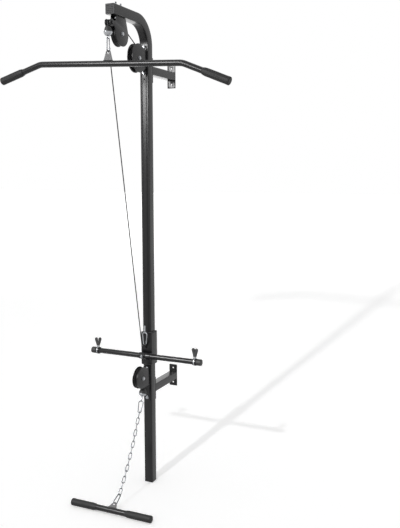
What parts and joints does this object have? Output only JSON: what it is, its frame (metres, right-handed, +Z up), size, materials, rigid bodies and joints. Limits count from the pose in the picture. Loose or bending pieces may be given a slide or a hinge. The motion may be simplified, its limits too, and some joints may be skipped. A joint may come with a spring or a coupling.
{
  "type": "wall-mounted cable strength station",
  "caption": "Wall-mounted post with a forward boom, cable pulleys, a weight carriage on a sleeve, a wide pull-down bar on top and a short pull bar on a chain below.",
  "frame": {"origin": "centre of the upper wall plate's rear face, on the wall plane", "axes": "+Z up, -Y out of the wall towards the user, +X to the right seen from the user facing the wall"},
  "size_m": [1.1675, 0.6816, 2.3358],
  "materials": {
    "coated_steel": "matt powder coat",
    "zinc_steel": "bright zinc plate",
    "pulley_plastic": "moulded",
    "cap_plastic": "moulded",
    "rubber": "matt moulded",
    "cable": "coated wire rope"
  },
  "bodies": {
    "frame": {"upright": "coated_steel", "boom_end_cap": "cap_plastic", "foot_cap": "cap_plastic", "upper_wall_bracket": "coated_steel", "lower_wall_bracket": "coated_steel", "boom_pulley_bracket": "coated_steel", "upper_pulley_bracket": "coated_steel", "lower_pulley_bracket": "coated_steel", "boom_bolt_front": "zinc_steel", "boom_bolt_rear": "zinc_steel", "bracket_bolt_upper_top": "zinc_steel", "bracket_bolt_upper_bottom": "zinc_steel", "bracket_bolt_lower_top": "zinc_steel", "bracket_bolt_lower_bottom": "zinc_steel", "boom_axle": "zinc_steel", "upper_axle": "zinc_steel", "lower_axle": "zinc_steel", "guide_axle": "zinc_steel", "upper_cable": "cable", "low_cable": "cable"},
    "boom_wheel": {"boom_pulley": "pulley_plastic", "boom_bearing": "zinc_steel"},
    "upper_wheel": {"upper_pulley": "pulley_plastic", "upper_bearing": "zinc_steel"},
    "lower_wheel": {"lower_pulley": "pulley_plastic", "lower_bearing": "zinc_steel"},
    "guide_wheel": {"guide_roller": "pulley_plastic"},
    "carriage": {"carriage_sleeve": "coated_steel", "liner_bottom": "pulley_plastic", "liner_top": "pulley_plastic", "bar_set_screw": "zinc_steel", "weight_bar": "coated_steel", "bar_cap_right": "rubber", "bar_cap_left": "rubber", "carriage_hook": "zinc_steel", "carriage_end_fitting": "zinc_steel"},
    "carriage_gate": {"carriage_hook_gate": "zinc_steel"},
    "right_collar": {"collar_right": "zinc_steel"},
    "right_wing": {"wing_screw_right": "pulley_plastic"},
    "left_collar": {"collar_left": "zinc_steel"},
    "left_wing": {"wing_screw_left": "pulley_plastic"},
    "lat_line": {"lat_stopper": "rubber"},
    "lat_fitting": {"lat_end_fitting": "zinc_steel"},
    "lat_snap": {"lat_hook": "zinc_steel", "low_cable_top_fitting": "zinc_steel"},
    "lat_gate": {"lat_hook_gate": "zinc_steel"},
    "lat_handle": {"lat_bar": "coated_steel", "lat_grip_right": "rubber", "lat_grip_left": "rubber"},
    "low_line": {"low_stopper": "rubber", "low_end_fitting": "zinc_steel"},
    "low_snap": {"low_hook": "zinc_steel"},
    "low_gate": {"low_hook_gate": "zinc_steel"},
    "chain_top": {"chain_1": "zinc_steel"},
    "chain_middle": {"chain_2": "zinc_steel"},
    "chain_end": {"chain_3": "zinc_steel"},
    "link": {"bottom_link": "zinc_steel"},
    "pull_handle": {"pull_bar": "coated_steel", "pull_grip_right": "rubber", "pull_grip_left": "rubber"}
  },
  "joints": [
    {"name": "carriage_slide", "type": "slide", "parent": "frame", "child": "carriage", "axis": [0, 0, 1], "range_m": [0, 1.1], "deforming": ["upper_cable"]},
    {"name": "lat_drop", "type": "slide", "parent": "frame", "child": "lat_line", "axis": [0, 0, -1], "range_m": [0, 1.1], "deforming": ["low_cable"]},
    {"name": "low_pull", "type": "slide", "parent": "frame", "child": "low_line", "axis": [0, -1, 0], "range_m": [0, 1.1]},
    {"name": "boom_pulley_spin", "type": "hinge", "parent": "frame", "child": "boom_wheel", "pos_m": [0, -0.518, 0.125], "axis": [1, 0, 0], "continuous": true},
    {"name": "upper_pulley_spin", "type": "hinge", "parent": "frame", "child": "upper_wheel", "pos_m": [0, -0.364, 0.043], "axis": [1, 0, 0], "continuous": true},
    {"name": "lower_pulley_spin", "type": "hinge", "parent": "frame", "child": "lower_wheel", "pos_m": [0, -0.364, -1.504], "axis": [1, 0, 0], "continuous": true},
    {"name": "guide_roller_spin", "type": "hinge", "parent": "frame", "child": "guide_wheel", "pos_m": [0, -0.604, 0.16], "axis": [1, 0, 0], "continuous": true},
    {"name": "lat_swivel", "type": "hinge", "parent": "lat_line", "child": "lat_fitting", "pos_m": [0, -0.6155, 0.0912], "axis": [0, 0, 1], "range_deg": [-30, 30]},
    {"name": "lat_hook_swing", "type": "hinge", "parent": "lat_fitting", "child": "lat_snap", "pos_m": [0, -0.6155, 0.0912], "axis": [1, 0, 0], "range_deg": [-30, 25]},
    {"name": "lat_gate_hinge", "type": "hinge", "parent": "lat_snap", "child": "lat_gate", "pos_m": [0, -0.6045, 0.05139], "axis": [1, 0, 0], "range_deg": [0, 20], "stiffness_Nm_per_rad": 0.05, "springref_deg": -5.73},
    {"name": "lat_bar_tilt", "type": "hinge", "parent": "lat_snap", "child": "lat_handle", "pos_m": [0, -0.6155, 0.0357], "axis": [0, 1, 0], "range_deg": [-20, 20]},
    {"name": "carriage_gate_hinge", "type": "hinge", "parent": "carriage", "child": "carriage_gate", "pos_m": [0.011, -0.3175, -1.32509], "axis": [0, -1, 0], "range_deg": [0, 20], "stiffness_Nm_per_rad": 0.05, "springref_deg": -5.73},
    {"name": "right_collar_slide", "type": "slide", "parent": "carriage", "child": "right_collar", "axis": [1, 0, 0], "range_m": [-0.234, 0.0015]},
    {"name": "right_wing_turn", "type": "hinge", "parent": "right_collar", "child": "right_wing", "pos_m": [0.275, -0.3163, -1.401], "axis": [0, 0, 1], "continuous": true},
    {"name": "left_collar_slide", "type": "slide", "parent": "carriage", "child": "left_collar", "axis": [-1, 0, 0], "range_m": [-0.234, 0.0015]},
    {"name": "left_wing_turn", "type": "hinge", "parent": "left_collar", "child": "left_wing", "pos_m": [-0.275, -0.3163, -1.401], "axis": [0, 0, 1], "continuous": true},
    {"name": "low_hook_swing", "type": "hinge", "parent": "low_line", "child": "low_snap", "pos_m": [0, -0.36127, -1.62137], "axis": [1, 0, 0], "range_deg": [-40, 22]},
    {"name": "low_gate_hinge", "type": "hinge", "parent": "low_snap", "child": "low_gate", "pos_m": [0.011, -0.37787, -1.66245], "axis": [0, -0.9272, 0.3746], "range_deg": [0, 20], "stiffness_Nm_per_rad": 0.05, "springref_deg": -5.73},
    {"name": "chain_top_swing", "type": "hinge", "parent": "low_snap", "child": "chain_top", "pos_m": [0, -0.38375, -1.677], "axis": [1, 0, 0], "range_deg": [-30, 30]},
    {"name": "chain_middle_swing", "type": "hinge", "parent": "chain_top", "child": "chain_middle", "pos_m": [0, -0.44226, -1.80096], "axis": [1, 0, 0], "range_deg": [-30, 30]},
    {"name": "chain_end_swing", "type": "hinge", "parent": "chain_middle", "child": "chain_end", "pos_m": [0, -0.5188, -1.92834], "axis": [1, 0, 0], "range_deg": [-30, 30]},
    {"name": "link_swing", "type": "hinge", "parent": "chain_end", "child": "link", "pos_m": [0, -0.58729, -2.01923], "axis": [1, 0, 0], "range_deg": [-30, 60]},
    {"name": "pull_bar_tilt", "type": "hinge", "parent": "link", "child": "pull_handle", "pos_m": [0, -0.63009, -2.04178], "axis": [0, 0.4661, -0.8847], "range_deg": [-20, 20]}
  ],
  "couplings": [
    {"joint": "lat_drop", "follows": "carriage_slide", "ratio": 1},
    {"joint": "low_pull", "follows": "carriage_slide", "ratio": 1},
    {"joint": "boom_pulley_spin", "follows": "carriage_slide", "rad_per_m": 21.505},
    {"joint": "upper_pulley_spin", "follows": "carriage_slide", "rad_per_m": 21.505},
    {"joint": "lower_pulley_spin", "follows": "carriage_slide", "rad_per_m": -21.505},
    {"joint": "guide_roller_spin", "follows": "carriage_slide", "rad_per_m": 86.957}
  ]
}
